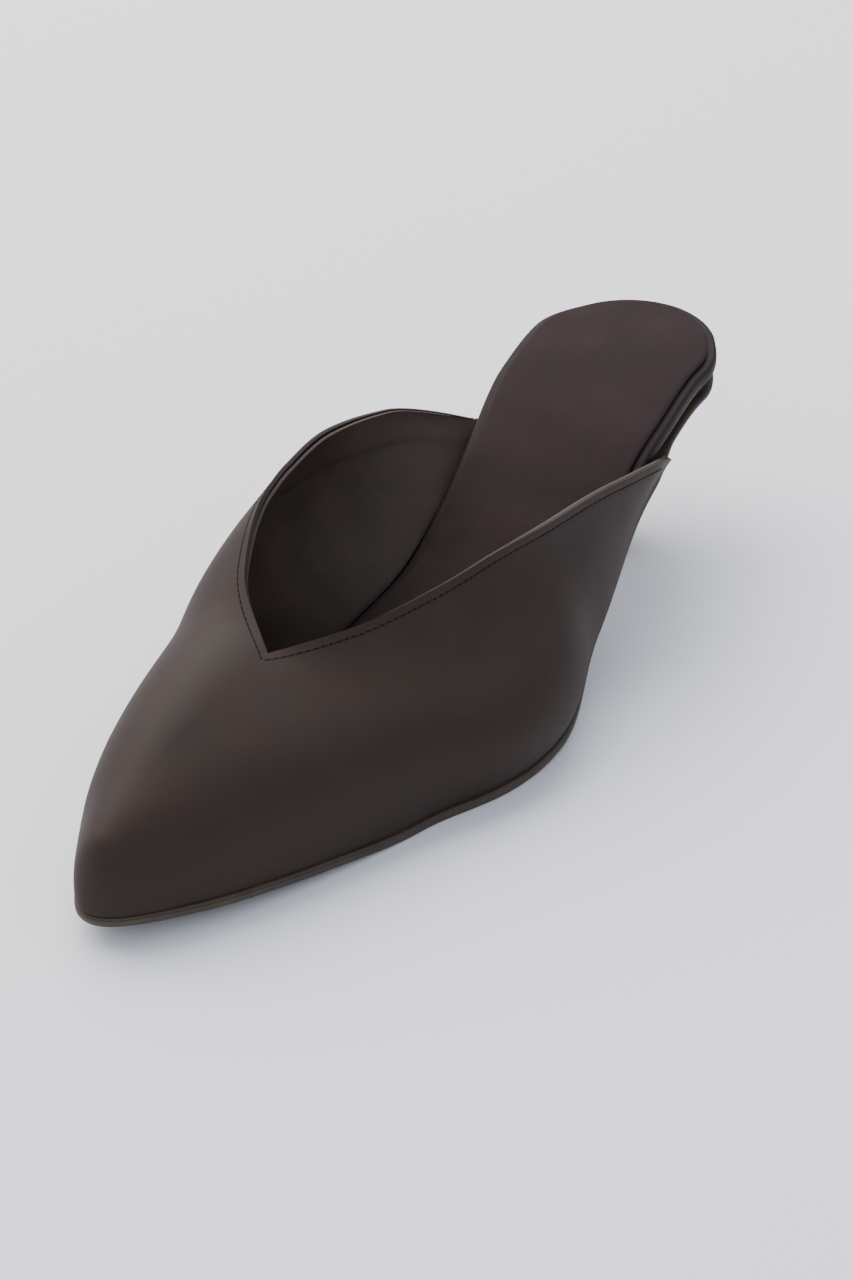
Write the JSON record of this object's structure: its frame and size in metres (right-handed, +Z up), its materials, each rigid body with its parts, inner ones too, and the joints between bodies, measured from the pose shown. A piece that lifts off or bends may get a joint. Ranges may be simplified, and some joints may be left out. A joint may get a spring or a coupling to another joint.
{
  "type": "pointed toe mule",
  "caption": "Backless left shoe with a pointed toe, V throat, smooth brown leather upper, padded insole and slim covered heel.",
  "frame": {"origin": "middle of the shoe's bounding box, on the floor", "axes": "-Y towards the toe, +X towards the outer side of the foot, +Z up"},
  "size_m": [0.0876, 0.2594, 0.0564],
  "materials": {
    "upper_leather": "smooth semi-gloss",
    "sole_leather": "smooth matte",
    "rand_black": "matte",
    "insole_wrap": "smooth semi-gloss",
    "sock_leather": "matte",
    "heel_cover": "smooth semi-gloss",
    "top_rubber": "matte"
  },
  "bodies": {
    "root": {"upper": "upper_leather", "outsole": "sole_leather", "rand": "rand_black", "insole": "insole_wrap", "sock": "sock_leather", "heel": "heel_cover", "top_piece": "top_rubber"}
  },
  "joints": []
}
